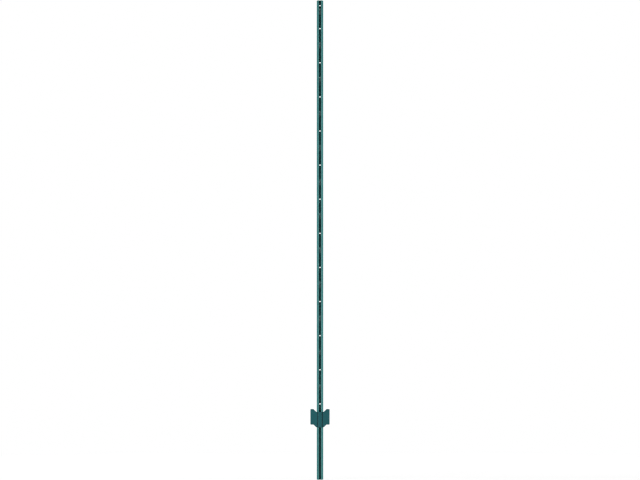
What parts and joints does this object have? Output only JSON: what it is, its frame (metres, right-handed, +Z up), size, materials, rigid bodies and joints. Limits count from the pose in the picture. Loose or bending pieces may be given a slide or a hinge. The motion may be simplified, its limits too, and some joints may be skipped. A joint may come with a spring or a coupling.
{
  "type": "u-channel fence post",
  "caption": "Tall steel fence post: a U-shaped channel with flanges, round holes and punched lugs down its web, and a winged anchor plate near the foot.",
  "frame": {"origin": "at the foot, in the middle of the width, on the plane of the flanges' front faces", "axes": "+Z up along the post, +Y from the open side through the web to the fence side, +X across the width"},
  "size_m": [0.0856, 0.0265, 2.1336],
  "materials": {
    "channel_powder_coat": "dark teal-green powder coat, satin, new and clean",
    "plate_powder_coat": "dark teal powder coat, satin, new and clean"
  },
  "bodies": {
    "root": {"post_channel": "channel_powder_coat", "anchor_plate": "plate_powder_coat"}
  },
  "joints": []
}
